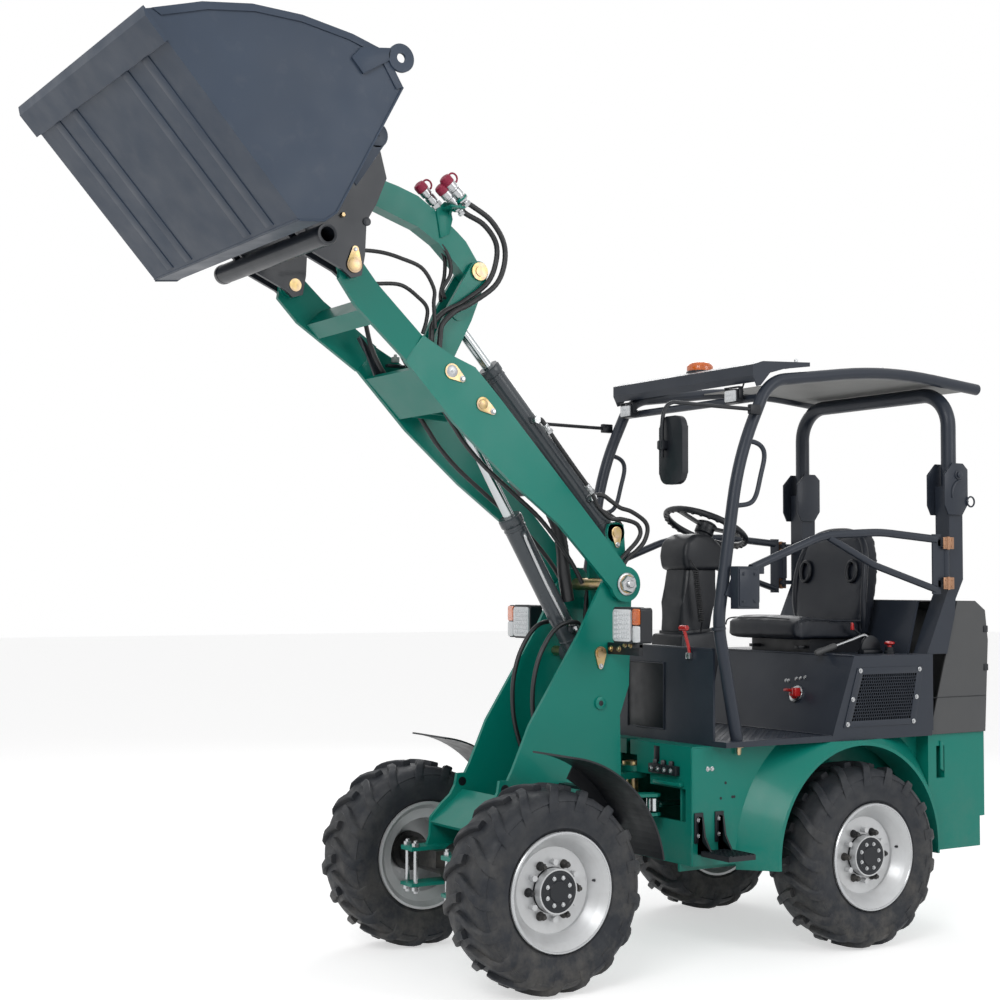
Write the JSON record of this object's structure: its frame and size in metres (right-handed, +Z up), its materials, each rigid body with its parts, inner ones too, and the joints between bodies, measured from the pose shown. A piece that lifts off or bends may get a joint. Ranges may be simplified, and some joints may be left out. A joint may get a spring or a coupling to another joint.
{
  "type": "compact electric articulated loader",
  "caption": "Compact electric articulated yard loader with a raised parallel-lift boom, a high-volume bucket on a quick hitch and an open canopy.",
  "frame": {"origin": "on the ground under the middle of the machine's length and width", "axes": "the machine faces -Y, its left side is +X, +Z is up"},
  "size_m": [1.35, 4.029, 3.3911],
  "materials": {
    "green_paint": "satin powder coat",
    "slate_paint": "satin powder coat",
    "iron_paint": "satin powder coat",
    "hood_plastic": "moulded, fine grain",
    "black_plastic": "moulded, fine grain",
    "seat_cover": "soft vinyl",
    "tyre_rubber": "matte",
    "wheel_silver": "silver lacquer",
    "zinc_plate": "yellow zinc",
    "chrome_rod": "hard chrome",
    "cylinder_paint": "gloss black",
    "mirror_shell": "moulded",
    "beacon_lens": "amber lens",
    "lamp_lens": "clear lens",
    "red_plastic": "gloss red",
    "axle_paint": "painted casting"
  },
  "bodies": {
    "rear": {"rear_frame": "green_paint", "rear_fenders": "green_paint", "battery_block": "black_plastic", "rear_axle": "axle_paint", "cab_tub": "iron_paint", "seat_box": "iron_paint", "back_wall": "iron_paint", "vent_grilles": "black_plastic", "steps": "iron_paint", "front_hoop": "iron_paint", "rear_hoop": "iron_paint", "hoop_legs": "iron_paint", "roof_panel": "iron_paint", "visor": "iron_paint", "beacon": "beacon_lens", "work_lamps": "lamp_lens", "mirrors": "mirror_shell", "seat_base": "black_plastic", "seat_cushion": "seat_cover", "seat_back": "seat_cover", "steering_console": "black_plastic", "control_levers": "red_plastic", "steer_bracket": "zinc_plate", "pivot_knuckle": "zinc_plate"},
    "hood": {"rear_hood": "hood_plastic"},
    "wheel_hand": {"steering_wheel": "black_plastic"},
    "door_l": {"door_left": "iron_paint"},
    "door_r": {"door_right": "iron_paint"},
    "steer_cyl": {"steer_barrel": "cylinder_paint"},
    "steer_ram": {"steer_rod": "chrome_rod"},
    "front": {"front_frame": "green_paint", "front_axle": "axle_paint", "front_fenders": "green_paint", "head_lamps": "lamp_lens", "tower_pins": "zinc_plate"},
    "wheel_fl": {"tyre_front_left": "tyre_rubber", "rim_front_left": "wheel_silver"},
    "wheel_fr": {"tyre_front_right": "tyre_rubber", "rim_front_right": "wheel_silver"},
    "wheel_rl": {"tyre_rear_left": "tyre_rubber", "rim_rear_left": "wheel_silver"},
    "wheel_rr": {"tyre_rear_right": "tyre_rubber", "rim_rear_right": "wheel_silver"},
    "boom_arm": {"boom": "green_paint", "boom_pins": "zinc_plate"},
    "hitch_pins": {"level_pins": "zinc_plate"},
    "hitch": {"quick_hitch": "slate_paint", "bucket": "slate_paint"},
    "lever_shaft": {"lever_pin": "zinc_plate"},
    "lever": {"tilt_lever": "green_paint"},
    "link_shaft": {"link_pin": "zinc_plate"},
    "link": {"guide_link": "green_paint", "service_couplings": "red_plastic"},
    "tilt_shaft": {"tilt_base_pin": "zinc_plate"},
    "tilt_cyl": {"tilt_barrel": "cylinder_paint"},
    "tilt_ram": {"tilt_rod": "chrome_rod"},
    "lift_cyl": {"lift_barrel": "cylinder_paint"},
    "lift_ram": {"lift_rod": "chrome_rod"}
  },
  "joints": [
    {"name": "steer", "type": "hinge", "parent": "rear", "child": "front", "pos_m": [0, 0.413, 0.61], "axis": [0, 0, 1], "range_deg": [-35, 35]},
    {"name": "roll_front_left", "type": "hinge", "parent": "front", "child": "wheel_fl", "pos_m": [0.492, -0.365, 0.38], "axis": [1, 0, 0], "continuous": true},
    {"name": "roll_front_right", "type": "hinge", "parent": "front", "child": "wheel_fr", "pos_m": [-0.492, -0.365, 0.38], "axis": [1, 0, 0], "continuous": true},
    {"name": "roll_rear_left", "type": "hinge", "parent": "rear", "child": "wheel_rl", "pos_m": [0.492, 1.191, 0.38], "axis": [1, 0, 0], "continuous": true},
    {"name": "roll_rear_right", "type": "hinge", "parent": "rear", "child": "wheel_rr", "pos_m": [-0.492, 1.191, 0.38], "axis": [1, 0, 0], "continuous": true},
    {"name": "door_left_swing", "type": "hinge", "parent": "rear", "child": "door_l", "pos_m": [0.522, 1.73, 1.598], "axis": [0, 0, 1], "range_deg": [0, 95]},
    {"name": "door_right_swing", "type": "hinge", "parent": "rear", "child": "door_r", "pos_m": [-0.522, 1.73, 1.598], "axis": [0, 0, -1], "range_deg": [0, 95]},
    {"name": "hood_lift", "type": "hinge", "parent": "rear", "child": "hood", "pos_m": [0, 1.811, 1.42], "axis": [1, 0, 0], "range_deg": [0, 60]},
    {"name": "steering_turn", "type": "hinge", "parent": "rear", "child": "wheel_hand", "pos_m": [0, 0.81, 1.745], "axis": [0, 0.4226, 0.9063], "range_deg": [-421, 421]},
    {"name": "steer_cylinder_swing", "type": "hinge", "parent": "rear", "child": "steer_cyl", "pos_m": [0.29, 0.935, 0.61], "axis": [0, 0, 1], "range_deg": [-2.41, 2.41]},
    {"name": "steer_cylinder_stroke", "type": "slide", "parent": "steer_cyl", "child": "steer_ram", "axis": [-0.083, -0.9965, 0], "range_m": [-0.1439, 0.1439]},
    {"name": "boom_lift", "type": "hinge", "parent": "front", "child": "boom_arm", "pos_m": [0, 0.231, 1.497], "axis": [1, 0, 0], "range_deg": [0, 87]},
    {"name": "hitch_level", "type": "hinge", "parent": "boom_arm", "child": "hitch_pins", "pos_m": [0, -1.063, 2.65], "axis": [1, 0, 0], "range_deg": [-74.14, 0]},
    {"name": "bucket_tilt", "type": "hinge", "parent": "hitch_pins", "child": "hitch", "pos_m": [0, -1.063, 2.65], "axis": [-1, 0, 0], "range_deg": [-88, 0]},
    {"name": "lever_follow", "type": "hinge", "parent": "boom_arm", "child": "lever_shaft", "pos_m": [0, -0.597, 2.304], "axis": [1, 0, 0], "range_deg": [-65.96, 0]},
    {"name": "lever_tilt", "type": "hinge", "parent": "lever_shaft", "child": "lever", "pos_m": [0, -0.597, 2.304], "axis": [-1, 0, 0], "range_deg": [-48.32, 0]},
    {"name": "link_follow", "type": "hinge", "parent": "lever", "child": "link_shaft", "pos_m": [0, -0.389, 2.731], "axis": [1, 0, 0], "range_deg": [0, 57.52]},
    {"name": "link_tilt", "type": "hinge", "parent": "link_shaft", "child": "link", "pos_m": [0, -0.389, 2.731], "axis": [-1, 0, 0], "range_deg": [0, 20.78]},
    {"name": "tilt_cylinder_follow", "type": "hinge", "parent": "front", "child": "tilt_shaft", "pos_m": [0, 0.281, 1.71], "axis": [1, 0, 0], "range_deg": [0, 87.1]},
    {"name": "tilt_cylinder_swing", "type": "hinge", "parent": "tilt_shaft", "child": "tilt_cyl", "pos_m": [0, 0.281, 1.71], "axis": [-1, 0, 0], "range_deg": [-4.5, 0]},
    {"name": "tilt_cylinder_stroke", "type": "slide", "parent": "tilt_cyl", "child": "tilt_ram", "axis": [0, -0.6708, 0.7417], "range_m": [0, 0.1618]},
    {"name": "lift_cylinder_swing", "type": "hinge", "parent": "front", "child": "lift_cyl", "pos_m": [0, 0.124, 1.219], "axis": [1, 0, 0], "range_deg": [0, 90.58]},
    {"name": "lift_cylinder_stroke", "type": "slide", "parent": "lift_cyl", "child": "lift_ram", "axis": [0, -0.5153, 0.857], "range_m": [-0.4059, 0]}
  ],
  "couplings": [
    {"joint": "steering_turn", "follows": "steer", "ratio": 12},
    {"joint": "steer_cylinder_swing", "follows": "steer", "ratio": 0.0659},
    {"joint": "steer_cylinder_stroke", "follows": "steer", "m_per_rad": -0.2339},
    {"joint": "hitch_level", "follows": "boom_lift", "ratio": -0.851},
    {"joint": "lever_follow", "follows": "boom_lift", "ratio": -0.757},
    {"joint": "link_follow", "follows": "boom_lift", "ratio": 0.66},
    {"joint": "tilt_cylinder_follow", "follows": "boom_lift", "ratio": 1},
    {"joint": "lift_cylinder_swing", "follows": "boom_lift", "ratio": 1.04},
    {"joint": "lift_cylinder_stroke", "follows": "boom_lift", "m_per_rad": -0.267},
    {"joint": "lever_tilt", "follows": "bucket_tilt", "ratio": 0.548},
    {"joint": "link_tilt", "follows": "bucket_tilt", "ratio": -0.235},
    {"joint": "tilt_cylinder_swing", "follows": "bucket_tilt", "ratio": 0.05},
    {"joint": "tilt_cylinder_stroke", "follows": "bucket_tilt", "m_per_rad": -0.105}
  ]
}
